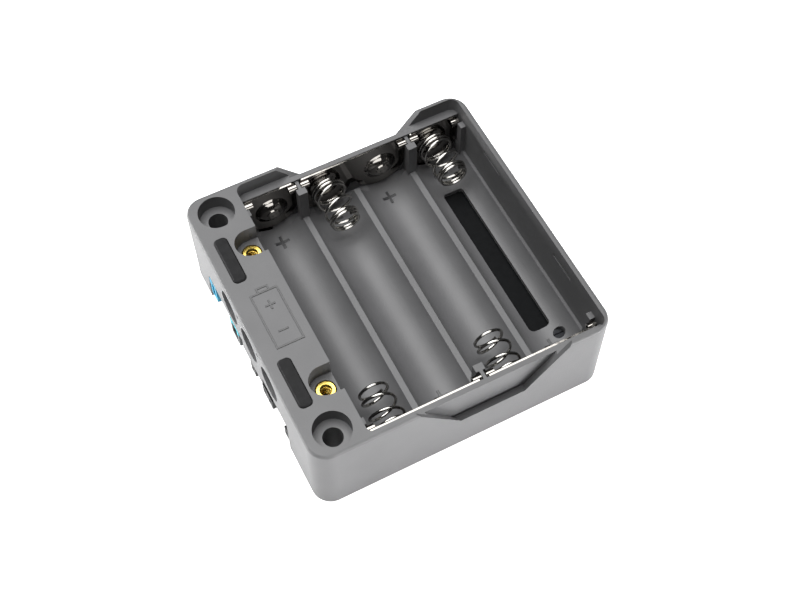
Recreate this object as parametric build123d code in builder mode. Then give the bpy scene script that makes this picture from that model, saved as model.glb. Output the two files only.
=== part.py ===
from build123d import *
import math
import os

os.makedirs("parts", exist_ok=True)

# Four-cell battery holder module. X runs across the cells, Y along them and Z up from the stacking rim.
# All sizes are in millimetres.

# Body
block_width = 9.7
body_depth = 54.0
body_height = 17.8
corner_radius = 3.4
top_edge_radius = 0.6
side_wall = 1.1
block_wall = 1.2
roof_wall = 1.3
end_wall = 2.4
rim_wall = 0.85
lid_seat_depth = 2.9
lid_corner_radius = 1.5
cut_over = 1.0

# Cells and their troughs
cell_diameter = 10.5
cell_clearance = 0.15
bay_count = 4
trough_floor_z = 4.25
floor_wall = 0.9
rib_top_z = 7.3
rib_end_gap = 1.3
rib_notch_z = 5.0
channel_ceiling_z = 5.6
channel_half_length = 22.6

# Finger recesses in the front and rear walls
recess_centre_x = 4.75
recess_top_half = 13.9
recess_floor_half = 6.0
recess_floor_z = 8.6
recess_depth = 1.45
recess_undercut = 0.8
recess_side_undercut = 0.5

# Lid tab slots in the right wall
lid_slot_length = 6.0
lid_slot_height = 0.6
lid_slot_y = 12.2
lid_slot_z = 14.75
lid_slot_depth = 0.55

# Contact plates
sheet = 0.3
sheet_clearance = 0.05
plate_side_gap = 0.45
plate_top_gap = 0.1
plate_lobe_clearance = 0.3
plate_waist_z = 7.9
plate_corner_radius = 0.6
button_radius = 2.3
button_height = 1.2
button_flat_radius = 1.1
curl_width = 1.5
curl_radius = 0.6
tail_width = 2.2
tail_offset = 1.6
tail_clearance = 0.3

# Posts that hold the plates against the end walls
post_head_width = 1.7
post_head_depth = 1.3
post_head_front = 3.0
post_stem_width = 0.6
post_top_z = 14.5
end_post_width = 1.0

# Cell springs
wire_radius = 0.25
spring_free_length = 7.6
spring_base_radius = 3.1
spring_tip_radius = 2.3
spring_base_turns = 2.0
spring_open_turns = 1.5
spring_tip_turns = 2.5
spring_close_pitch = 0.6
spring_seat_gap = 0.3
spring_points_per_turn = 12

# Stack screws in the left block
screw_side_inset = 4.9
screw_end_inset = 4.25
screw_hole_radius = 1.7
screw_head_radius = 3.2
screw_head_depth = 2.9
screw_boss_wall = 0.8

# Threaded inserts for the lid
insert_face_inset = 2.15
insert_end_inset = 12.45
insert_radius = 1.8
insert_length = 3.0
insert_bore_radius = 0.8
insert_chamfer = 0.25
insert_pocket_radius = 2.65
insert_pocket_depth = 3.5
insert_boss_radius = 2.8
insert_boss_port_gap = 1.5
insert_relief = 0.6

# Rubber pads
pad_side_inset = 3.15
pad_end_inset = 14.2
pad_width = 2.3
pad_length = 9.4
pad_corner_radius = 0.8
pad_rise = 0.35
pad_sunk = 0.5
pad_clearance = 0.08
pad_chamfer = 0.2

# Side bores for plug-in pins
bore_pitch = 8.0
bore_centre_y = -0.9
bore_z = 13.3
bore_count = 3
bore_radius = 2.45
bore_counter_radius = 3.1
bore_counter_depth = 0.9
bore_depth = 7.2
bore_tube_wall = 1.25
notch_width = 0.9
notch_height = 0.7
notch_depth = 0.6
notch_z = 16.5

# Port window in the left wall
window_front_inset = 12.1
window_rear_inset = 8.4
window_rear_top_inset = 9.6
window_top_z = 8.6
tongue_front_y = -5.0
tongue_rear_y = 3.0
tongue_z = 6.3

# Circuit board
board_thickness = 1.2
board_floor_gap = 0.15
board_edge_gap = 0.4
board_boss_gap = 0.4
board_corner_radius = 2.2

# Board screws, seen in the floor of the last bay
board_screw_offset = 2.3
board_screw_end_inset = 8.5
board_screw_radius = 0.6
board_screw_head_radius = 1.0
board_screw_head_height = 0.55
board_screw_head_z = 3.85
board_screw_clearance = 0.05
board_screw_slot = 0.3
board_screw_slot_depth = 0.25
board_boss_radius = 1.8

# Slot in the floor of the last bay, over the bus socket
floor_slot_length = 32.5
floor_slot_width = 4.0
floor_slot_corner = 0.9

# Bus socket, two rows of fifteen
bus_pitch = 2.54
bus_rows = 2
bus_columns = 15
bus_height = 1.9
bus_hole = 1.0
bus_hole_depth = 1.5
bus_contact_length = 1.0
bus_contact_wall = 0.15

# Coloured port sockets and black headers along the window
blue_port_inset = 10.9
blue_port_width = 2.6
grey_port_y = 6.8
grey_port_width = 3.6
single_header_y = -0.7
single_header_width = 2.0
double_header_y = -6.6
double_header_width = 4.0
front_header_inset = 12.9
front_header_width = 1.3
port_height = 5.0
port_depth = 6.4
port_wall = 0.65
port_mouth_depth = 4.2
port_pin = 0.5
port_pin_pitch = 1.2
header_height = 2.9
header_depth = 7.0
header_pitch = 2.0
header_hole = 0.9
header_hole_depth = 5.0
header_contact_wall = 0.12
header_contact_length = 3.5
port_edge_radius = 0.2

trough_radius = cell_diameter / 2 + cell_clearance
bay_pitch = 2 * trough_radius
body_width = block_width + bay_count * bay_pitch + side_wall
half_width = body_width / 2
half_depth = body_depth / 2
cell_axis_z = trough_floor_z + trough_radius
bay_right_x = half_width - side_wall
last_bay_x = bay_right_x - trough_radius
bay_x = [last_bay_x - bay_pitch * (bay_count - 1 - i) for i in range(bay_count)]
block_face_x = bay_x[0] - trough_radius
rib_x = [(bay_x[i] + bay_x[i + 1]) / 2 for i in range(bay_count - 1)]
lid_seat_z = body_height - lid_seat_depth
inner_end_y = half_depth - end_wall
bay_mid_x = (block_face_x + bay_right_x) / 2
bay_span_x = bay_right_x - block_face_x
plate_back_y = inner_end_y - sheet_clearance
plate_front_y = plate_back_y - sheet
rib_end_y = plate_front_y - rib_end_gap
head_front_y = inner_end_y - post_head_front
board_top_z = trough_floor_z - floor_wall - board_floor_gap
board_bottom_z = board_top_z - board_thickness
screw_x = -half_width + screw_side_inset
screw_y = half_depth - screw_end_inset
insert_x = block_face_x - insert_face_inset
insert_y = half_depth - insert_end_inset
pad_x = -half_width + pad_side_inset
pad_y = half_depth - pad_end_inset
screw_boss_radius = screw_head_radius + screw_boss_wall
bore_y = [bore_centre_y + bore_pitch * (i - (bore_count - 1) / 2) for i in range(bore_count)]
board_screw_x = last_bay_x + board_screw_offset
board_screw_y = half_depth - board_screw_end_inset
plate_top_z = lid_seat_z - plate_top_gap
lobe_radius = trough_radius - plate_lobe_clearance
insert_seat_z = body_height - insert_pocket_depth
insert_boss_z = board_top_z + port_height + insert_boss_port_gap

# The plates by the bays that each one spans, with the side of the body it stands on
plates = [
    {"name": "plate_rear_bay_1", "side": 1, "bays": [0], "springs": []},
    {"name": "plate_rear_bays_2_3", "side": 1, "bays": [1, 2], "springs": [1]},
    {"name": "plate_rear_bay_4", "side": 1, "bays": [3], "springs": [3]},
    {"name": "plate_front_bays_1_2", "side": -1, "bays": [0, 1], "springs": [0]},
    {"name": "plate_front_bays_3_4", "side": -1, "bays": [2, 3], "springs": [2]},
]
tail_plates = ["plate_rear_bay_1", "plate_rear_bay_4"]

# Each port by its name, its centre and width along Y, its kind and its count of ways
blue_port_y = half_depth - blue_port_inset
front_header_y = -half_depth + front_header_inset
ports = [
    {"name": "port_socket_blue", "y": blue_port_y, "width": blue_port_width, "kind": "socket", "ways": 1},
    {"name": "port_socket_grey", "y": grey_port_y, "width": grey_port_width, "kind": "socket", "ways": 2},
    {
        "name": "header_middle_single",
        "y": single_header_y,
        "width": single_header_width,
        "kind": "header",
        "ways": 1,
    },
    {
        "name": "header_middle_double",
        "y": double_header_y,
        "width": double_header_width,
        "kind": "header",
        "ways": 2,
    },
    {
        "name": "header_front_single",
        "y": front_header_y,
        "width": front_header_width,
        "kind": "header",
        "ways": 1,
    },
]


# Underside hollow below the troughs: a shallow tray at both ends, deeper between the troughs
with BuildPart() as floor_void:
    with BuildSketch(Plane.XY):
        with Locations(((block_face_x + bay_right_x) / 2, 0)):
            Rectangle(bay_span_x, 2 * channel_half_length)
    extrude(amount=channel_ceiling_z)
    with BuildSketch(Plane.XZ):
        with Locations(*[(x, cell_axis_z) for x in bay_x]):
            Circle(trough_radius + floor_wall)
    extrude(amount=half_depth, both=True, mode=Mode.SUBTRACT)
    with BuildSketch(Plane.XY):
        RectangleRounded(
            body_width - 2 * side_wall, body_depth - 2 * side_wall, corner_radius - side_wall
        )
    extrude(amount=trough_floor_z - floor_wall)

# Hollow inside the left block, bounded below by the first trough's wall
with BuildPart() as block_void:
    void_left_x = -half_width + block_wall
    void_right_x = block_face_x - block_wall
    with BuildSketch(Plane.XY):
        with Locations(((void_left_x + void_right_x) / 2, 0)):
            Rectangle(void_right_x - void_left_x, body_depth - 2 * block_wall)
    extrude(amount=body_height - roof_wall)
    with BuildSketch(Plane.XY):
        with Locations(((void_left_x + block_face_x) / 2, 0)):
            Rectangle(block_face_x - void_left_x, 2 * channel_half_length)
    extrude(amount=channel_ceiling_z)
    with BuildSketch(Plane.XZ):
        with Locations((bay_x[0], cell_axis_z)):
            Circle(trough_radius + floor_wall)
    extrude(amount=half_depth, both=True, mode=Mode.SUBTRACT)

with BuildPart() as housing:
    # Outer shell with rounded vertical corners and a softened top edge
    with BuildSketch(Plane.XY):
        RectangleRounded(body_width, body_depth, corner_radius)
    extrude(amount=body_height)
    fillet(housing.faces().sort_by(Axis.Z)[-1].edges(), radius=top_edge_radius)

    # Underside hollows, with the columns that stand in them
    add(floor_void.part, mode=Mode.SUBTRACT)
    add(block_void.part, mode=Mode.SUBTRACT)
    with BuildSketch(Plane.XY):
        with Locations((screw_x, screw_y), (screw_x, -screw_y)):
            Circle(screw_boss_radius)
    extrude(amount=body_height - top_edge_radius)
    with BuildSketch(Plane.XY.offset(insert_boss_z)):
        with Locations((insert_x, insert_y), (insert_x, -insert_y)):
            Circle(insert_boss_radius)
        with Locations((block_face_x, 0)):
            Rectangle(
                body_width, body_depth, align=(Align.MIN, Align.CENTER), mode=Mode.SUBTRACT
            )
    extrude(amount=body_height - roof_wall - insert_boss_z)
    with BuildSketch(Plane.YZ.offset(-half_width)):
        with Locations(*[(y, bore_z) for y in bore_y]):
            Circle(bore_radius + bore_tube_wall)
    extrude(amount=block_face_x - block_wall + half_width)
    with BuildSketch(Plane.XY.offset(board_top_z)):
        with Locations((board_screw_x, board_screw_y), (board_screw_x, -board_screw_y)):
            Circle(board_boss_radius)
    extrude(amount=board_screw_head_z - board_top_z)

    # Cell compartment down to the rib tops, the lid seat around it and the round troughs
    with BuildSketch(Plane.XY.offset(rib_top_z)):
        with Locations((bay_mid_x, 0)):
            Rectangle(bay_span_x, 2 * inner_end_y)
    extrude(amount=body_height, mode=Mode.SUBTRACT)
    with BuildSketch(Plane.XY.offset(lid_seat_z)):
        with Locations((bay_mid_x, 0)):
            RectangleRounded(bay_span_x, body_depth - 2 * rim_wall, lid_corner_radius)
    extrude(amount=body_height, mode=Mode.SUBTRACT)
    with BuildSketch(Plane.XZ):
        with Locations(*[(x, cell_axis_z) for x in bay_x]):
            Circle(trough_radius)
    extrude(amount=inner_end_y, both=True, mode=Mode.SUBTRACT)

    # The ribs stop short of the contact plates
    for side in (1, -1):
        with BuildSketch(Plane.XY.offset(rib_notch_z)):
            with Locations((bay_mid_x, side * (rib_end_y + inner_end_y) / 2)):
                Rectangle(bay_span_x - 2 * plate_side_gap, inner_end_y - rib_end_y)
        extrude(amount=rib_top_z - rib_notch_z + cut_over, mode=Mode.SUBTRACT)

    # Posts: a stem between two plates with a wider head in front of their ends, and one at each outer end
    for side in (1, -1):
        joint_x = [rib_x[0], rib_x[2]] if side > 0 else [rib_x[1]]
        head_y = side * (head_front_y + post_head_depth / 2)
        stem_y = side * (head_front_y + inner_end_y) / 2
        with BuildSketch(Plane.XY.offset(rib_notch_z)):
            with Locations(*[(x, head_y) for x in joint_x]):
                Rectangle(post_head_width, post_head_depth)
            with Locations(*[(x, stem_y) for x in joint_x]):
                Rectangle(post_stem_width, inner_end_y - head_front_y)
            with Locations((block_face_x, head_y)):
                Rectangle(end_post_width, post_head_depth, align=(Align.MIN, Align.CENTER))
            with Locations((bay_right_x, head_y)):
                Rectangle(end_post_width, post_head_depth, align=(Align.MAX, Align.CENTER))
        extrude(amount=post_top_z - rib_notch_z)

    # Finger recesses: trapezoids whose ledge falls away behind the face
    side_slope = (recess_top_half - recess_floor_half) / (body_height - recess_floor_z)
    for side in (1, -1):
        recess_levels = [
            (half_depth, 0.0, 0.0),
            (half_depth - recess_depth, recess_undercut, recess_side_undercut),
        ]
        for y, drop, spread in recess_levels:
            with BuildSketch(Plane.XZ.offset(-side * y)):
                with BuildLine():
                    top_half = recess_top_half + spread + cut_over * side_slope
                    floor_half = recess_floor_half + spread
                    Polyline(
                        (recess_centre_x - floor_half, recess_floor_z - drop),
                        (recess_centre_x + floor_half, recess_floor_z - drop),
                        (recess_centre_x + top_half, body_height + cut_over),
                        (recess_centre_x - top_half, body_height + cut_over),
                        close=True,
                    )
                make_face()
        loft(mode=Mode.SUBTRACT)

    # Lid tab slots inside the right wall
    with BuildSketch(Plane.YZ.offset(bay_right_x)):
        with Locations((lid_slot_y, lid_slot_z), (-lid_slot_y, lid_slot_z)):
            SlotOverall(lid_slot_length, lid_slot_height)
    extrude(amount=lid_slot_depth, mode=Mode.SUBTRACT)

    # Stack screw holes, lid insert pockets and pad pockets in the top of the left block
    with Locations((screw_x, screw_y, body_height), (screw_x, -screw_y, body_height)):
        CounterBoreHole(screw_hole_radius, screw_head_radius, screw_head_depth)
    with BuildSketch(Plane.XY.offset(insert_seat_z)):
        with Locations((insert_x, insert_y), (insert_x, -insert_y)):
            Circle(insert_pocket_radius)
            Rectangle(
                block_face_x - insert_x + cut_over,
                2 * insert_pocket_radius,
                align=(Align.MIN, Align.CENTER),
            )
    extrude(amount=insert_pocket_depth + cut_over, mode=Mode.SUBTRACT)
    with Locations((insert_x, insert_y, insert_seat_z), (insert_x, -insert_y, insert_seat_z)):
        Hole(insert_radius, depth=insert_length + insert_relief)
    with BuildSketch(Plane.XY.offset(body_height - pad_sunk)):
        with Locations((pad_x, pad_y), (pad_x, -pad_y)):
            RectangleRounded(
                pad_width + 2 * pad_clearance,
                pad_length + 2 * pad_clearance,
                pad_corner_radius + pad_clearance,
            )
    extrude(amount=pad_sunk + cut_over, mode=Mode.SUBTRACT)

    # Side bores with their shallow counterbores, and the small notches between them
    for y in bore_y:
        with Locations(Plane(origin=(-half_width, y, bore_z), x_dir=(0, 1, 0), z_dir=(-1, 0, 0))):
            CounterBoreHole(bore_radius, bore_counter_radius, bore_counter_depth, depth=bore_depth)
    with BuildSketch(Plane.YZ.offset(-half_width)):
        with Locations(*[((bore_y[i] + bore_y[i + 1]) / 2, notch_z) for i in range(bore_count - 1)]):
            Rectangle(notch_width, notch_height)
    extrude(amount=notch_depth, mode=Mode.SUBTRACT)

    # Port window, open at the stacking rim, with a tongue between the ports
    with BuildSketch(Plane.YZ.offset(-half_width)):
        with BuildLine():
            Polyline(
                (-half_depth + window_front_inset, -cut_over),
                (half_depth - window_rear_inset, -cut_over),
                (half_depth - window_rear_inset, board_top_z),
                (half_depth - window_rear_top_inset, window_top_z),
                (tongue_rear_y, window_top_z),
                (tongue_rear_y, tongue_z),
                (tongue_front_y, tongue_z),
                (tongue_front_y, window_top_z),
                (-half_depth + window_front_inset, window_top_z),
                close=True,
            )
        make_face()
    extrude(amount=block_wall, mode=Mode.SUBTRACT)

    # Floor of the last bay: the slot over the bus socket and the board screw holes
    with BuildSketch(Plane.XY.offset(-cut_over)):
        with Locations((last_bay_x, 0)):
            RectangleRounded(floor_slot_width, floor_slot_length, floor_slot_corner)
    extrude(amount=cell_axis_z + cut_over, mode=Mode.SUBTRACT)
    with BuildSketch(Plane.XY.offset(board_screw_head_z)):
        with Locations((board_screw_x, board_screw_y), (board_screw_x, -board_screw_y)):
            Circle(board_screw_head_radius + board_screw_clearance)
    extrude(amount=cell_axis_z - board_screw_head_z, mode=Mode.SUBTRACT)
    with BuildSketch(Plane.XY.offset(board_bottom_z)):
        with Locations((board_screw_x, board_screw_y), (board_screw_x, -board_screw_y)):
            Circle(board_screw_radius + board_screw_clearance)
    extrude(amount=cell_axis_z - board_bottom_z, mode=Mode.SUBTRACT)

    # Openings in the floor for the solder tails of the two end plates
    with BuildSketch(Plane.XY.offset(-cut_over)):
        for plate in plates:
            if plate["name"] in tail_plates:
                tail_x = bay_x[plate["bays"][0]] - tail_offset
                with Locations((tail_x, plate["side"] * (plate_back_y - sheet / 2))):
                    Rectangle(tail_width + 2 * tail_clearance, sheet + 2 * tail_clearance)
    extrude(amount=cell_axis_z, mode=Mode.SUBTRACT)

housing.part.label = "housing"
export_step(housing.part, "parts/housing.step")

# Rubber pads in the top of the left block
for end, side in (("rear", 1), ("front", -1)):
    with BuildPart() as pad:
        with BuildSketch(Plane.XY.offset(body_height - pad_sunk)):
            with Locations((pad_x, side * pad_y)):
                RectangleRounded(pad_width, pad_length, pad_corner_radius)
        extrude(amount=pad_sunk + pad_rise)
        chamfer(pad.faces().sort_by(Axis.Z)[-1].edges(), length=pad_chamfer)
    pad.part.label = "pad_" + end
    export_step(pad.part, "parts/pad_" + end + ".step")

# Threaded brass inserts for the lid screws
for end, side in (("rear", 1), ("front", -1)):
    with BuildPart() as insert:
        with BuildSketch(Plane.XY.offset(insert_seat_z - insert_length)):
            with Locations((insert_x, side * insert_y)):
                Circle(insert_radius)
                Circle(insert_bore_radius, mode=Mode.SUBTRACT)
        extrude(amount=insert_length)
        chamfer(insert.edges().filter_by(GeomType.CIRCLE).group_by(Axis.Z)[-1], length=insert_chamfer)
    insert.part.label = "insert_" + end
    export_step(insert.part, "parts/insert_" + end + ".step")

# Contact plates: a lobe in each trough, with a pressed button or a flat spring seat
for plate in plates:
    side = plate["side"]
    plate_bays = [bay_x[i] for i in plate["bays"]]
    left_x = plate_bays[0] - trough_radius + plate_side_gap
    right_x = plate_bays[-1] + trough_radius - plate_side_gap
    mid_x = (left_x + right_x) / 2
    face_plane = Plane(origin=(0, side * plate_back_y, 0), x_dir=(side, 0, 0), z_dir=(0, -side, 0))
    with BuildPart() as contact:
        with BuildSketch(Plane.XZ.offset(-side * plate_back_y)):
            with Locations((mid_x, (plate_top_z + plate_waist_z) / 2)):
                RectangleRounded(right_x - left_x, plate_top_z - plate_waist_z, plate_corner_radius)
            with Locations(*[(x, cell_axis_z) for x in plate_bays]):
                Circle(lobe_radius)
            with Locations((mid_x, plate_top_z)):
                Rectangle(
                    body_width, body_height, align=(Align.CENTER, Align.MIN), mode=Mode.SUBTRACT
                )
            with Locations((left_x, cell_axis_z)):
                Rectangle(body_width, body_width, align=(Align.MAX, Align.CENTER), mode=Mode.SUBTRACT)
            with Locations((right_x, cell_axis_z)):
                Rectangle(body_width, body_width, align=(Align.MIN, Align.CENTER), mode=Mode.SUBTRACT)
            if plate["name"] in tail_plates:
                with Locations((plate_bays[0] - tail_offset, board_top_z)):
                    Rectangle(
                        tail_width, cell_axis_z - board_top_z, align=(Align.CENTER, Align.MIN)
                    )
        extrude(amount=side * sheet)
        for i in plate["bays"]:
            if i not in plate["springs"]:
                button_plane = Plane(
                    origin=(bay_x[i], side * plate_front_y, cell_axis_z),
                    x_dir=(1, 0, 0),
                    z_dir=(0, -side, 0),
                )
                with BuildSketch(button_plane):
                    Circle(button_radius)
                with BuildSketch(button_plane.offset(button_height)):
                    Circle(button_flat_radius)
                loft()
        # A small curl at each upper end bears on the back of the post
        for curl_x in (left_x + curl_width / 2, right_x - curl_width / 2):
            curl_y = side * (plate_back_y - curl_radius - sheet / 2)
            with BuildSketch(Plane.YZ.offset(curl_x)):
                with Locations((curl_y, plate_top_z - curl_radius - sheet)):
                    Circle(curl_radius + sheet / 2)
                    Circle(curl_radius - sheet / 2, mode=Mode.SUBTRACT)
            extrude(amount=curl_width / 2, both=True)
    contact.part.label = plate["name"]
    export_step(contact.part, "parts/" + plate["name"] + ".step")


def spring_path(centre_x, side):
    """Points of one conical spring: close turns at both ends with open ones between them."""
    turns = spring_base_turns + spring_open_turns + spring_tip_turns
    close_rise = spring_close_pitch * (spring_base_turns + spring_tip_turns)
    open_pitch = (spring_free_length - 2 * wire_radius - close_rise) / spring_open_turns
    steps = round(turns * spring_points_per_turn)
    points = []
    for step in range(steps + 1):
        turn = turns * step / steps
        open_turn = min(max(turn - spring_base_turns, 0), spring_open_turns)
        rise = spring_close_pitch * (turn - open_turn) + open_pitch * open_turn
        radius = spring_base_radius + (spring_tip_radius - spring_base_radius) * turn / turns
        angle = 2 * math.pi * turn
        x = centre_x + radius * math.cos(angle)
        y = plate_front_y - spring_seat_gap - wire_radius - rise
        points.append((x, side * y, cell_axis_z + radius * math.sin(angle)))
    return points


# Conical cell springs, one in each bay at its negative end
for plate in plates:
    for i in plate["springs"]:
        wire_points = spring_path(bay_x[i], plate["side"])
        with BuildPart() as spring:
            with BuildLine() as wire:
                Spline(*wire_points)
            with BuildSketch(Plane(origin=wire.line @ 0, z_dir=wire.line % 0)):
                Circle(wire_radius)
            sweep(path=wire.line, is_frenet=True)
        label = "spring_bay_" + str(i + 1)
        spring.part.label = label
        export_step(spring.part, "parts/" + label + ".step")

# Circuit board under the floor, cut back round the two screw columns
with BuildPart() as circuit_board:
    board_half_width = half_width - side_wall - board_edge_gap
    board_half_depth = half_depth - side_wall - board_edge_gap
    with BuildSketch(Plane.XY.offset(board_bottom_z)):
        RectangleRounded(2 * board_half_width, 2 * board_half_depth, board_corner_radius)
        for side in (1, -1):
            with Locations((screw_x, side * screw_y)):
                Circle(screw_boss_radius + board_boss_gap, mode=Mode.SUBTRACT)
            with Locations((screw_x, side * screw_y)):
                Rectangle(
                    2 * screw_boss_radius,
                    2 * screw_boss_radius,
                    rotation=0,
                    align=(Align.MAX, Align.MIN if side > 0 else Align.MAX),
                    mode=Mode.SUBTRACT,
                )
        with Locations((board_screw_x, board_screw_y), (board_screw_x, -board_screw_y)):
            Circle(board_screw_radius + board_screw_clearance, mode=Mode.SUBTRACT)
    extrude(amount=board_thickness)
circuit_board.part.label = "circuit_board"
export_step(circuit_board.part, "parts/circuit_board.step")

# Small slotted screws that hold the board
for end, side in (("rear", 1), ("front", -1)):
    with BuildPart() as board_screw:
        with BuildSketch(Plane.XY.offset(board_bottom_z)):
            with Locations((board_screw_x, side * board_screw_y)):
                Circle(board_screw_radius)
        extrude(amount=board_screw_head_z - board_bottom_z)
        with BuildSketch(Plane.XY.offset(board_screw_head_z)):
            with Locations((board_screw_x, side * board_screw_y)):
                Circle(board_screw_head_radius)
        extrude(amount=board_screw_head_height)
        head_top_z = board_screw_head_z + board_screw_head_height
        with BuildSketch(Plane.XY.offset(head_top_z)):
            with Locations((board_screw_x, side * board_screw_y)):
                Rectangle(3 * board_screw_head_radius, board_screw_slot)
        extrude(amount=-board_screw_slot_depth, mode=Mode.SUBTRACT)
    board_screw.part.label = "board_screw_" + end
    export_step(board_screw.part, "parts/board_screw_" + end + ".step")

# Bus socket under the board: a strip with two rows of square holes, and its contacts
with BuildPart() as bus_socket:
    with BuildSketch(Plane.XY.offset(board_bottom_z - bus_height)):
        with Locations((last_bay_x, 0)):
            Rectangle(bus_rows * bus_pitch, bus_columns * bus_pitch)
    extrude(amount=bus_height)
    with BuildSketch(Plane.XY.offset(board_bottom_z - bus_height)):
        with Locations((last_bay_x, 0)):
            with GridLocations(bus_pitch, bus_pitch, bus_rows, bus_columns):
                Rectangle(bus_hole, bus_hole)
    extrude(amount=bus_hole_depth, mode=Mode.SUBTRACT)
bus_socket.part.label = "bus_socket"
export_step(bus_socket.part, "parts/bus_socket.step")

with BuildPart() as bus_contacts:
    with BuildSketch(Plane.XY.offset(board_bottom_z - bus_height + bus_hole_depth - bus_contact_length)):
        with Locations((last_bay_x, 0)):
            for offset_x in (-bus_hole / 2 + bus_contact_wall / 2, bus_hole / 2 - bus_contact_wall / 2):
                with Locations((offset_x, 0)):
                    with GridLocations(bus_pitch, bus_pitch, bus_rows, bus_columns):
                        Rectangle(bus_contact_wall, bus_hole / 2)
    extrude(amount=bus_contact_length)
bus_contacts.part.label = "bus_contacts"
export_step(bus_contacts.part, "parts/bus_contacts.step")

# Ports along the window, standing on the board with their mouths at the left face
for port in ports:
    port_height_z = port_height if port["kind"] == "socket" else header_height
    depth = port_depth if port["kind"] == "socket" else header_depth
    mid_z = board_top_z + port_height_z / 2
    way_pitch = port_pin_pitch if port["kind"] == "socket" else header_pitch
    way_y = [port["y"] + way_pitch * (i - (port["ways"] - 1) / 2) for i in range(port["ways"])]
    with BuildPart() as port_body:
        with BuildSketch(Plane.YZ.offset(-half_width)):
            with Locations((port["y"], mid_z)):
                Rectangle(port["width"], port_height_z)
        extrude(amount=depth)
        fillet(port_body.edges().filter_by(Axis.X), radius=port_edge_radius)
        if port["kind"] == "socket":
            with BuildSketch(Plane.YZ.offset(-half_width)):
                with Locations((port["y"], mid_z)):
                    Rectangle(port["width"] - 2 * port_wall, port_height_z - 2 * port_wall)
            extrude(amount=port_mouth_depth, mode=Mode.SUBTRACT)
        else:
            with BuildSketch(Plane.YZ.offset(-half_width)):
                with Locations(*[(y, mid_z) for y in way_y]):
                    Rectangle(header_hole, header_hole)
            extrude(amount=header_hole_depth, mode=Mode.SUBTRACT)
    port_body.part.label = port["name"]
    export_step(port_body.part, "parts/" + port["name"] + ".step")

    with BuildPart() as port_contacts:
        if port["kind"] == "socket":
            pin_start_x = -half_width + port_wall
            with BuildSketch(Plane.YZ.offset(pin_start_x)):
                with Locations(*[(y, mid_z) for y in way_y]):
                    Rectangle(port_pin, port_pin)
            extrude(amount=port_mouth_depth - port_wall)
        else:
            contact_x = -half_width + header_hole_depth - header_contact_length
            with BuildSketch(Plane.YZ.offset(contact_x)):
                for y in way_y:
                    for edge in (-1, 1):
                        with Locations((y, mid_z + edge * (header_hole - header_contact_wall) / 2)):
                            Rectangle(header_hole / 2, header_contact_wall)
            extrude(amount=header_contact_length)
    contact_label = port["name"].replace("port_socket", "port_pins").replace("header", "header_contacts")
    port_contacts.part.label = contact_label
    export_step(port_contacts.part, "parts/" + contact_label + ".step")
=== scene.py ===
import bpy, bmesh, math
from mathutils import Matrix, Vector


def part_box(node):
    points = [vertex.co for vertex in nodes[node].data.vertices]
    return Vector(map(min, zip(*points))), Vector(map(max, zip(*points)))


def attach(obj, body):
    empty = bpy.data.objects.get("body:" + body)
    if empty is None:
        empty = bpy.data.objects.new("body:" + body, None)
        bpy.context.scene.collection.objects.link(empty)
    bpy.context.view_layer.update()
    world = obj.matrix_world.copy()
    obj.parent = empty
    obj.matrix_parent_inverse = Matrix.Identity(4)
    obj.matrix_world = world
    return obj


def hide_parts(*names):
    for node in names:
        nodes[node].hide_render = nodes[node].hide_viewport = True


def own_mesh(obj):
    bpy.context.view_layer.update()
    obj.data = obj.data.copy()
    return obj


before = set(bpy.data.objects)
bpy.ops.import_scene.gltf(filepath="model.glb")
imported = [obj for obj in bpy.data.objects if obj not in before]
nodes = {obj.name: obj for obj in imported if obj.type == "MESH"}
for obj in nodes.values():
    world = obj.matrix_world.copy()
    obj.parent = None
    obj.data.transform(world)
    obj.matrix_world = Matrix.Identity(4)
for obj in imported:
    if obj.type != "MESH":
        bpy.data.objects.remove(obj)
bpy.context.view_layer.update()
mm = 0.001
print("frame loaded, nodes:", len(nodes))


def linear(hexText):
    # sRGB hex to the linear colour that shaders want
    values = [int(hexText[i:i + 2], 16) / 255 for i in (1, 3, 5)]
    return [v / 12.92 if v <= 0.04045 else ((v + 0.055) / 1.055) ** 2.4 for v in values] + [1.0]


def addNode(tree, kind, settings=None, **links):
    # settings are attributes; links are inputs by name, or by number as i0 or i1:
    # a socket is joined and a plain value is set
    node = tree.nodes.new(kind)
    for name, value in (settings or {}).items():
        setattr(node, name, value)
    for name, value in links.items():
        key = int(name[1:]) if name[0] == "i" and name[1:].isdigit() else name.replace("_", " ")
        socket = node.inputs[key]
        if isinstance(value, bpy.types.NodeSocket):
            tree.links.new(value, socket)
        else:
            socket.default_value = value
    return node


def addObject(name, data):
    # a new object, linked into the scene
    thing = bpy.data.objects.new(name, data)
    bpy.context.scene.collection.objects.link(thing)
    return thing


def aim(thing, place, target):
    # puts a camera or lamp at its place and turns it to its target, both in millimetres
    thing.location = Vector(place) * mm
    along = (Vector(target) - Vector(place)).normalized()
    thing.rotation_euler = along.to_track_quat("-Z", "Y").to_euler()


# Camera, matched to the photograph
camera = {
    "place": (-51.54, -102.94, 202.99), "target": (0.717, -1.332, 7.0),
    "lens": 58.92, "sensor": 36, "nearest": 10,
}
cameraData = bpy.data.cameras.new("camera")
cameraData.lens = camera["lens"]
cameraData.sensor_width = camera["sensor"]
cameraData.clip_start = camera["nearest"] * mm
cameraObject = addObject("camera", cameraData)
aim(cameraObject, camera["place"], camera["target"])
bpy.context.scene.camera = cameraObject
print("camera set")

# Finishes, with sizes in mm. The cloud takes the colour from dark to light, or on nickel the roughness
# from smooth up. The grain is the bump, or the cloud where there is no grain. Real grain is finer
# than would show, so none is drawn under 0.1 mm.
plainLook = {"metallic": 0.0, "specular": 0.5, "cloudDetail": 2.0, "grainDetail": 2.0}
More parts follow.
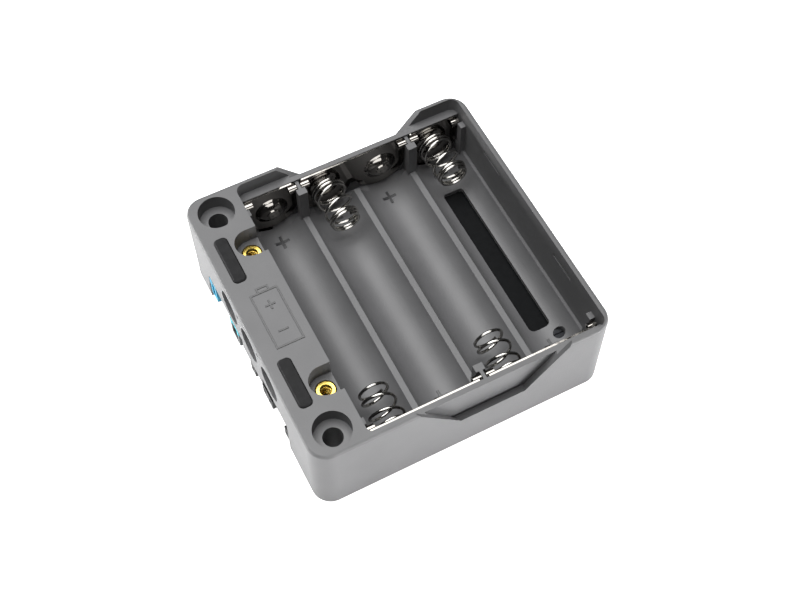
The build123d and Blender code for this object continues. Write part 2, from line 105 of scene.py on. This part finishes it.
# injection-moulded nylon: slightly waxy, with a very fine mould grain
nylon = {"roughness": 0.5, "specular": 0.25, "cloud": 0.9, "grain": 0.15, "depth": 0.008}
looks = {
    # ABS from a spark-eroded mould: an even satin grey with a fine leathery grain
    "mouldedAbs": {
        "dark": "#505051", "light": "#555556", "roughness": 0.5,
        "cloud": 6.0, "grain": 0.24, "grainDetail": 3.0, "depth": 0.016,
    },
    # the same ABS where the mould was polished for its raised marks: smoother; its much darker colour is
    # painted shade, standing in for the shadow inside engraved marks
    "paintedShadeAbs": {
        "dark": "#262627", "light": "#2b2b2c", "roughness": 0.35,
        "cloud": 0.8, "depth": 0.002,
    },
    # free-cutting brass, turned on a lathe: warm yellow with fine tool marks
    "turnedBrass": {
        "dark": "#a58a3a", "light": "#dcc36a", "roughness": 0.22, "metallic": 1.0,
        "cloud": 0.12, "cloudDetail": 1.0, "depth": 0.006,
    },
    # nickel-plated music wire, drawn through a die: bright, with faint lines
    "drawnWire": {
        "dark": "#aaa8a4", "smooth": 0.07, "roughness": 0.16, "metallic": 1.0,
        "cloud": 0.6, "grain": 0.1, "depth": 0.003,
    },
    # nickel over spring steel sheet: a dark mirror, with a faint waviness from rolling and pressing
    "nickelSheet": {
        "dark": "#807d79", "smooth": 0.05, "roughness": 0.12, "metallic": 1.0,
        "cloud": 2.4, "cloudDetail": 3.0, "grain": 1.6, "grainDetail": 1.0, "depth": 0.012,
    },
    "blackNylon": {**nylon, "dark": "#0b0b0c", "light": "#131314"},
    "blueNylon": {**nylon, "dark": "#0a7c9c", "light": "#128bab"},
    # the grey socket is moulded in two colours: above a height it is bluish
    "greyNylon": {**nylon, "dark": "#4d4f50", "light": "#5a5c5d", "cap": "#2fa9b8", "capAbove": 6.6},
    # thin gold over phosphor bronze: yellow, fairly smooth, slightly mottled
    "goldFlash": {
        "dark": "#cfa44c", "light": "#e6c374", "roughness": 0.24, "metallic": 1.0,
        "cloud": 0.5, "grain": 0.1, "depth": 0.002,
    },
    # die-cut silicone rubber: nearly black and dull, with a soft skin that scatters light
    "padRubber": {
        "dark": "#161617", "light": "#1e1e1f", "roughness": 0.7, "specular": 0.18,
        "cloud": 1.2, "grain": 0.3, "grainDetail": 3.0, "depth": 0.02,
    },
    # matt black solder mask over woven glass laminate: almost even, with a very faint mottle
    "solderMask": {
        "dark": "#0a0b0c", "light": "#0e0f10", "roughness": 0.75, "specular": 0.08,
        "cloud": 0.9, "grain": 0.5, "depth": 0.006,
    },
    # black-oxide steel screw: nearly black, softly reflective, with fine tumbling marks
    "blackSteel": {
        "dark": "#242527", "light": "#323335", "roughness": 0.32, "metallic": 1.0,
        "cloud": 0.4, "grain": 0.12, "depth": 0.004,
    },
}
rampEnds = (0.3, 0.7)  # the noises mostly stay between these


def startMaterial(name, constants):
    # constants are set straight on the shader's sockets
    material = bpy.data.materials.new(name)
    material.use_nodes = True
    shader = material.node_tree.nodes["Principled BSDF"]
    for socket, value in constants.items():
        shader.inputs[socket].default_value = value
    return material


def mottled(name, chosen):
    # a finish with its cloud and grain, both held to the piece by its Object coordinates
    look = {**plainLook, **chosen}
    material = startMaterial(name, {
        "Base Color": linear(look["dark"]), "Roughness": look["roughness"],
        "Metallic": look["metallic"], "Specular IOR Level": look["specular"],
    })
    tree = material.node_tree
    shader = tree.nodes["Principled BSDF"]
    spot = addNode(tree, "ShaderNodeTexCoord").outputs["Object"]
    noises = {}
    for kind in ("cloud", "grain"):
        if kind in look:
            noise = addNode(tree, "ShaderNodeTexNoise", Vector=spot,
                            Scale=1 / (look[kind] * mm), Detail=look[kind + "Detail"])
            noises[kind] = noise.outputs["Fac"]
    if "light" in look:
        target = "Base Color"
        ends = [linear(look["dark"]), linear(look["light"])]
    else:
        target = "Roughness"
        ends = [(level, level, level, 1) for level in (look["smooth"], look["roughness"])]
    ramp = addNode(tree, "ShaderNodeValToRGB", Fac=noises["cloud"])
    for element, position, colour in zip(ramp.color_ramp.elements, rampEnds, ends):
        element.position = position
        element.color = colour
    varied = ramp.outputs["Color"]
    if "cap" in look:
        height = addNode(tree, "ShaderNodeSeparateXYZ", Vector=spot).outputs["Z"]
        above = addNode(tree, "ShaderNodeMath", {"operation": "GREATER_THAN"},
                        i0=height, i1=look["capAbove"] * mm)
        # a mix of colours takes inputs 6 and 7 and gives output 2
        mix = addNode(tree, "ShaderNodeMix", {"data_type": "RGBA"},
                      i0=above.outputs[0], i6=varied, i7=linear(look["cap"]))
        varied = mix.outputs[2]
    tree.links.new(varied, shader.inputs[target])
    bump = addNode(tree, "ShaderNodeBump", Height=noises.get("grain", noises["cloud"]),
                   Distance=look["depth"] * mm, Strength=1.0)
    tree.links.new(bump.outputs["Normal"], shader.inputs["Normal"])
    return material


finishes = {name: mottled(name, look) for name, look in looks.items()}
# a node takes the finish of the longest of these that its name starts with
finishByNode = {
    "housing": "mouldedAbs", "pad": "padRubber", "insert": "turnedBrass", "plate": "nickelSheet",
    "spring": "drawnWire", "circuit_board": "solderMask", "board_screw": "blackSteel",
    "bus_socket": "blackNylon", "bus_contacts": "goldFlash",
    "port_socket_blue": "blueNylon", "port_socket_grey": "greyNylon", "port_pins": "goldFlash",
    "header": "blackNylon", "header_contacts": "goldFlash",
}
for name, node in nodes.items():
    starts = [start for start in finishByNode if name.startswith(start)]
    node.data.materials.clear()
    node.data.materials.append(finishes[finishByNode[max(starts, key=len)]])
print("materials on", len(nodes), "nodes")


def middle(name):
    # the middle of a node's box, in millimetres
    low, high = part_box(name)
    return (Vector(low) + Vector(high)) / 2 / mm


def meshObject(name, mesh, finish):
    # turns a bmesh into an object with one finish, its faces outwards
    bmesh.ops.recalc_face_normals(mesh, faces=mesh.faces)
    data = bpy.data.meshes.new(name)
    mesh.to_mesh(data)
    mesh.free()
    data.materials.append(finishes[finish])
    return addObject(name, data)


# Cell springs, conical, by bay. On the photograph's rear ones more turns lie close. The first numbers
# are the tree's inputs, in mm, turns and radians; the rear and front ones take the place of them.
spring = {
    "baseRadius": 3.1, "tipRadius": 2.4, "baseTurns": 1.25, "openTurns": 2.25, "tipTurns": 1.0,
    "closePitch": 0.6, "freeLength": 8.4, "wireRadius": 0.27, "side": 1.0, "phase": 0.0, "tilt": 0.0,
    "seatY": 23.95, "axisZ": 9.65, "travel": 4.0,
    "sides": {1: -1.0, 2: 1.0, 3: -1.0, 4: 1.0},
    "rear": {"baseTurns": 2.0, "openTurns": 1.75, "tipTurns": 2.25, "phase": 1.2},
    "front": {"phase": 2.4},
    "pointsPerTurn": 40.0, "wireSides": 12,
}
coilInputs = (
    "baseRadius", "tipRadius", "baseTurns", "openTurns", "tipTurns", "closePitch", "freeLength",
    "wireRadius", "side", "phase", "tilt",
)
# The winding as sums, each from the ones above it: an operation and two values
coilSums = {
    "closeTurns": ("ADD", "baseTurns", "tipTurns"),
    "turns": ("ADD", "closeTurns", "openTurns"),
    "count": ("MULTIPLY", "turns", spring["pointsPerTurn"]),
    "lastIndex": ("SUBTRACT", "count", 1.0),
    "share": ("DIVIDE", "index", "lastIndex"),
    "turn": ("MULTIPLY", "share", "turns"),
    "pastBase": ("SUBTRACT", "turn", "baseTurns"),
    "pastBaseOnly": ("MAXIMUM", "pastBase", 0.0),
    "openTurn": ("MINIMUM", "pastBaseOnly", "openTurns"),
    "wireWidth": ("MULTIPLY", "wireRadius", 2.0),
    "lineLength": ("SUBTRACT", "freeLength", "wireWidth"),
    "closeLength": ("MULTIPLY", "closeTurns", "closePitch"),
    "openLength": ("SUBTRACT", "lineLength", "closeLength"),
    "openPitch": ("DIVIDE", "openLength", "openTurns"),
    "closeTurn": ("SUBTRACT", "turn", "openTurn"),
    "closeRise": ("MULTIPLY", "closeTurn", "closePitch"),
    "openRise": ("MULTIPLY", "openTurn", "openPitch"),
    "rise": ("ADD", "closeRise", "openRise"),
    "narrowing": ("SUBTRACT", "tipRadius", "baseRadius"),
    "taper": ("MULTIPLY", "narrowing", "share"),
    "radius": ("ADD", "baseRadius", "taper"),
    "woundAngle": ("MULTIPLY", "turn", 2 * math.pi),
    "angle": ("ADD", "woundAngle", "phase"),
    "cosine": ("COSINE", "angle", 0.0),
    "sine": ("SINE", "angle", 0.0),
    "depth": ("ADD", "rise", "wireRadius"),
    "inward": ("MULTIPLY", "depth", "side"),
    "x": ("MULTIPLY", "radius", "cosine"),
    "y": ("MULTIPLY", "inward", -1.0),
    "z": ("MULTIPLY", "radius", "sine"),
}


def coilTree():
    # a wire that winds along Y by turn number: close turns, open turns, close turns
    tree = bpy.data.node_groups.new("coil", "GeometryNodeTree")
    tree.interface.new_socket(name="Geometry", in_out="OUTPUT", socket_type="NodeSocketGeometry")
    inputs = [(name, "NodeSocketFloat", spring[name]) for name in coilInputs]
    inputs.append(("seat", "NodeSocketVector", (0, 0, 0)))
    inputs.append(("finish", "NodeSocketMaterial", finishes["drawnWire"]))
    keys = {}
    for name, kind, value in inputs:
        socket = tree.interface.new_socket(name=name, in_out="INPUT", socket_type=kind)
        socket.default_value = value
        keys[name] = socket.identifier
    given = tree.nodes.new("NodeGroupInput").outputs
    values = {name: given[name] for name in coilInputs}
    values["index"] = addNode(tree, "GeometryNodeInputIndex").outputs[0]
    for name, (operation, *pair) in coilSums.items():
        first, second = [values[part] if isinstance(part, str) else part for part in pair]
        node = addNode(tree, "ShaderNodeMath", {"operation": operation}, i0=first, i1=second)
        values[name] = node.outputs[0]
    line = addNode(tree, "GeometryNodeCurvePrimitiveLine", End=(0, 0, 1))
    points = addNode(tree, "GeometryNodeResampleCurve", Curve=line.outputs[0], Count=values["count"])
    ring = addNode(tree, "ShaderNodeCombineXYZ", X=values["x"], Y=values["y"], Z=values["z"])
    turned = addNode(tree, "ShaderNodeVectorRotate", {"rotation_type": "X_AXIS"},
                     Vector=ring.outputs[0], Angle=given["tilt"])
    seated = addNode(tree, "ShaderNodeVectorMath", i0=turned.outputs[0], i1=given["seat"])
    wound = addNode(tree, "GeometryNodeSetPosition",
                    Geometry=points.outputs[0], Position=seated.outputs[0])
    section = addNode(tree, "GeometryNodeCurvePrimitiveCircle", Resolution=spring["wireSides"],
                      Radius=given["wireRadius"])
    solid = addNode(tree, "GeometryNodeCurveToMesh", Curve=wound.outputs[0],
                    i1=section.outputs[0], Fill_Caps=True)
    sized = addNode(tree, "GeometryNodeTransform", Geometry=solid.outputs[0], Scale=(mm, mm, mm))
    smooth = addNode(tree, "GeometryNodeSetShadeSmooth", Geometry=sized.outputs[0])
    real = addNode(tree, "GeometryNodeRealizeInstances", Geometry=smooth.outputs[0])
    dressed = addNode(tree, "GeometryNodeSetMaterial",
                      Geometry=real.outputs[0], Material=given["finish"])
    addNode(tree, "NodeGroupOutput", Geometry=dressed.outputs[0])
    return tree, keys


def bake(name, tree, keys, values):
    # runs a node tree on an empty mesh and keeps the result as a plain mesh
    maker = addObject(name + "Maker", bpy.data.meshes.new(name + "Maker"))
    modifier = maker.modifiers.new("nodes", "NODES")
    modifier.node_group = tree
    for key, value in values.items():
        modifier[keys[key]] = value
    depsgraph = bpy.context.evaluated_depsgraph_get()
    mesh = bpy.data.meshes.new_from_object(maker.evaluated_get(depsgraph))
    mesh.name = name
    bpy.data.objects.remove(maker)
    return addObject(name, mesh)


coil, coilKeys = coilTree()
for bay, side in spring["sides"].items():
    seat = (middle(f"spring_bay_{bay}").x, side * spring["seatY"], spring["axisZ"])
    turnsHere = spring["rear"] if side > 0 else spring["front"]
    piece = bake(f"coilSpring{bay}", coil, coilKeys, {**turnsHere, "side": side, "seat": seat})
    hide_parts(f"spring_bay_{bay}")
    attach(piece, "holder")
    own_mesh(piece)
print("springs wound")

# Domed button caps: the pressed dome of each plain contact, over the cone that the solid has there
dome = {
    "bays": {1: 1.0, 2: -1.0, 3: 1.0, 4: -1.0}, "faceY": 24.25, "axisZ": 9.65, "radius": 2.6, "height": 1.3,
    "flare": 0.5, "lip": 0.05, "steps": 14, "around": 48, "sunk": 0.1, "power": 1.3,
}
rim = dome["radius"] + dome["flare"]
profile = [(rim, -dome["sunk"]), (rim, dome["lip"] / 2)]  # radius and height, from the rim to the top
for step in range(dome["steps"]):
    turn = step / dome["steps"] * math.pi / 2
    rise = dome["lip"] + (dome["height"] - dome["lip"]) * math.sin(turn) ** dome["power"]
    profile.append((dome["radius"] * math.cos(turn) ** dome["power"], rise))
angles = [2 * math.pi * k / dome["around"] for k in range(dome["around"])]
for bay, side in dome["bays"].items():
    centreX = middle(f"spring_bay_{bay}").x
    mesh = bmesh.new()
    loops = []
    for radius, height in profile:
        spots = [(centreX + radius * math.cos(angle), side * (dome["faceY"] - height),
                  dome["axisZ"] + radius * math.sin(angle)) for angle in angles]
        loops.append([mesh.verts.new(Vector(spot) * mm) for spot in spots])
    for lower, upper in zip(loops, loops[1:]):
        for k in range(dome["around"]):
            after = (k + 1) % dome["around"]
            mesh.faces.new((lower[k], lower[after], upper[after], upper[k])).smooth = True
    mesh.faces.new(loops[0])
    mesh.faces.new(loops[-1])
    piece = meshObject(f"buttonDome{bay}", mesh, "nickelSheet")
    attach(piece, "holder")
print("buttons domed")

# Threads in the brass inserts: the same winding, stood upright, with one radius and one pitch
thread = {"radius": 0.82, "pitch": 0.4, "turns": 6.0, "ridge": 0.12, "fromTop": 0.2}
thirdOfTurns = thread["turns"] / 3
for end in ("rear", "front"):
    low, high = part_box(f"insert_{end}")
    centre = middle(f"insert_{end}")
    piece = bake(f"insertThread{end.capitalize()}", coil, coilKeys, {
        "baseRadius": thread["radius"], "tipRadius": thread["radius"],
        "baseTurns": thirdOfTurns, "openTurns": thirdOfTurns, "tipTurns": thirdOfTurns,
        "closePitch": thread["pitch"], "freeLength": thread["turns"] * thread["pitch"] + 2 * thread["ridge"],
        "wireRadius": thread["ridge"], "tilt": math.pi / 2, "finish": finishes["turnedBrass"],
        "seat": (centre.x, centre.y, high.z / mm - thread["fromTop"]),
    })
    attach(piece, "holder")
print("threads cut")


def relief(name, uCuts, vCuts, filled, shape, form):
    # a closed raised form from the filled cells of a grid; shape turns (u, v, height) into a place
    mesh = bmesh.new()
    levels = (-form["sunk"], form["raised"])
    corners = {}

    def corner(i, j, level):
        key = (i, j, level)
        if key not in corners:
            corners[key] = mesh.verts.new(Vector(shape(uCuts[i], vCuts[j], levels[level])) * mm)
        return corners[key]

    cells = {
        (i, j) for i in range(len(uCuts) - 1) for j in range(len(vCuts) - 1)
        if filled((uCuts[i] + uCuts[i + 1]) / 2, (vCuts[j] + vCuts[j + 1]) / 2)
    }
    for i, j in cells:
        ring = [(i, j), (i + 1, j), (i + 1, j + 1), (i, j + 1)]
        mesh.faces.new([corner(a, b, 1) for a, b in ring])
        mesh.faces.new([corner(a, b, 0) for a, b in reversed(ring)])
        sides = {(i, j - 1): (0, 1), (i + 1, j): (1, 2), (i, j + 1): (2, 3), (i - 1, j): (3, 0)}
        for nextCell, (start, stop) in sides.items():
            if nextCell not in cells:
                (a, b), (c, d) = ring[start], ring[stop]
                mesh.faces.new([corner(a, b, 0), corner(c, d, 0), corner(c, d, 1), corner(a, b, 1)])
    # the raised forms take the dark ABS: painted shade, as if each were an engraved mark in its own shadow
    piece = meshObject(name, mesh, "paintedShadeAbs")
    bevel = piece.modifiers.new("edges", "BEVEL")
    bevel.width = form["edge"] * mm
    bevel.segments = form["edgeSteps"]
    bevel.limit_method = "ANGLE"
    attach(piece, "holder")


# Polarity marks on the trough floors: for each bay, how far along it they lie
sign = {
    "troughRadius": 5.4, "axisZ": 9.65, "half": 1.35, "stroke": 0.5, "armCells": 4,
    "raised": 0.16, "sunk": 0.05, "edge": 0.05, "edgeSteps": 2,
    "plus": {1: 20.4, 2: -19.9, 3: 20.4, 4: -19.9}, "minus": {1: -20.4, 2: 20.4, 3: -20.4, 4: 20.4},
}
stroke = sign["stroke"] / 2
armCuts = [sign["half"] * (step + 1) / sign["armCells"] for step in range(sign["armCells"])]
signCuts = sorted(way * cut for way in (-1, 1) for cut in [stroke, *armCuts])


def onTrough(centreX, markY):
    # the shape of a mark that lies round the floor of a trough
    def shape(u, v, height):
        turn = u / sign["troughRadius"]
        reach = sign["troughRadius"] - height
        return (centreX + reach * math.sin(turn), markY + v, sign["axisZ"] - reach * math.cos(turn))
    return shape


def inMinus(u, v):
    return abs(v) < stroke


def inPlus(u, v):
    return min(abs(u), abs(v)) < stroke


for kind, filled in {"plus": inPlus, "minus": inMinus}.items():
    for bay, markY in sign[kind].items():
        shape = onTrough(middle(f"spring_bay_{bay}").x, markY)
        relief(f"{kind}MarkBay{bay}", signCuts, signCuts, filled, shape, sign)
print("polarity marks raised")

# A plain battery pictogram on the screw block: a raised outline with its nub, a plus and a minus
badge = {
    "x": -21.4, "y": -0.6, "long": 11.0, "wide": 5.0, "nub": 0.9, "nubWide": 2.2, "line": 0.32,
    "signHalf": 0.9, "signAt": 2.6, "raised": 0.12, "sunk": 0.05, "edge": 0.03, "edgeSteps": 2,
}
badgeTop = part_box("housing")[1].z / mm
line = badge["line"]
halfLine = line / 2
halfLong = badge["long"] / 2
halfWide = badge["wide"] / 2
halfNub = badge["nubWide"] / 2
nubEnd = halfLong + badge["nub"]


def onBlock(u, v, height):
    return (badge["x"] + u, badge["y"] + v, badgeTop + height)


def inBadge(u, v):
    outside = abs(u) < halfWide and abs(v) < halfLong
    inside = abs(u) < halfWide - line and abs(v) < halfLong - line
    nubOut = abs(u) < halfNub and halfLong - line < v < nubEnd
    nubIn = abs(u) < halfNub - line and v < nubEnd - line
    fromPlus = abs(v - badge["signAt"])
    plus = max(abs(u), fromPlus) < badge["signHalf"] and min(abs(u), fromPlus) < halfLine
    minus = abs(u) < badge["signHalf"] and abs(v + badge["signAt"]) < halfLine
    return (outside and not inside) or (nubOut and not nubIn) or plus or minus


uCuts = sorted(way * cut for way in (-1, 1) for cut in (
    halfWide, halfWide - line, halfNub, halfNub - line, badge["signHalf"], halfLine))
vCuts = sorted(
    [way * cut for way in (-1, 1) for cut in (halfLong, halfLong - line)]
    + [nubEnd, nubEnd - line]
    + [badge["signAt"] + step for step in (-badge["signHalf"], -halfLine, halfLine, badge["signHalf"])]
    + [-badge["signAt"] + step for step in (-halfLine, halfLine)]
)
relief("batteryPictogram", uCuts, vCuts, inBadge, onBlock, badge)
print("pictogram raised")

# Floor, lamps and world. The low lamps light the outer walls, and the card shows only in reflections.
stage = {"colour": "#f8f8f8", "roughness": 0.9, "glow": 0.75, "size": 3000, "drop": 0.2, "ambient": 0.06}
lights = {
    "overhead": {"place": (-60, 120, 600), "target": (0, 0, 8), "wide": 620, "tall": 620, "watts": 8.2},
    "leftRearLow": {"place": (-230, 150, 8), "target": (-27, 0, 8), "wide": 300, "tall": 14, "watts": 1.1},
    "frontRightLow": {"place": (170, -240, 8), "target": (0, -27, 8), "wide": 300, "tall": 14, "watts": 1.4},
    "reflectionCard": {"place": (-80, -420, 280), "target": (0, 0, 8), "wide": 560, "tall": 320, "watts": 2.2,
                       "onlyGloss": True},
}
white = (1, 1, 1, 1)
bpy.context.scene.view_settings.view_transform = "Standard"
half = stage["size"] / 2 * mm
floorMesh = bpy.data.meshes.new("floor")
floorCorners = [(-half, -half, 0), (half, -half, 0), (half, half, 0), (-half, half, 0)]
floorMesh.from_pydata(floorCorners, [], [(0, 1, 2, 3)])
floor = addObject("floor", floorMesh)
floor.location.z = -stage["drop"] * mm
floorMesh.materials.append(startMaterial("paleFloor", {
    "Base Color": linear(stage["colour"]), "Roughness": stage["roughness"],
    "Emission Color": white, "Emission Strength": stage["glow"],
}))

for name, light in lights.items():
    data = bpy.data.lights.new(name, "AREA")
    data.shape = "RECTANGLE"
    data.size = light["wide"] * mm
    data.size_y = light["tall"] * mm
    data.energy = light["watts"]
    lamp = addObject(name, data)
    aim(lamp, light["place"], light["target"])
    lamp.visible_camera = False
    lamp.visible_diffuse = not light.get("onlyGloss", False)
world = bpy.data.worlds.new("studio")
world.use_nodes = True
background = world.node_tree.nodes["Background"]
background.inputs["Color"].default_value = white
background.inputs["Strength"].default_value = stage["ambient"]
bpy.context.scene.world = world
print("stage and lights set")
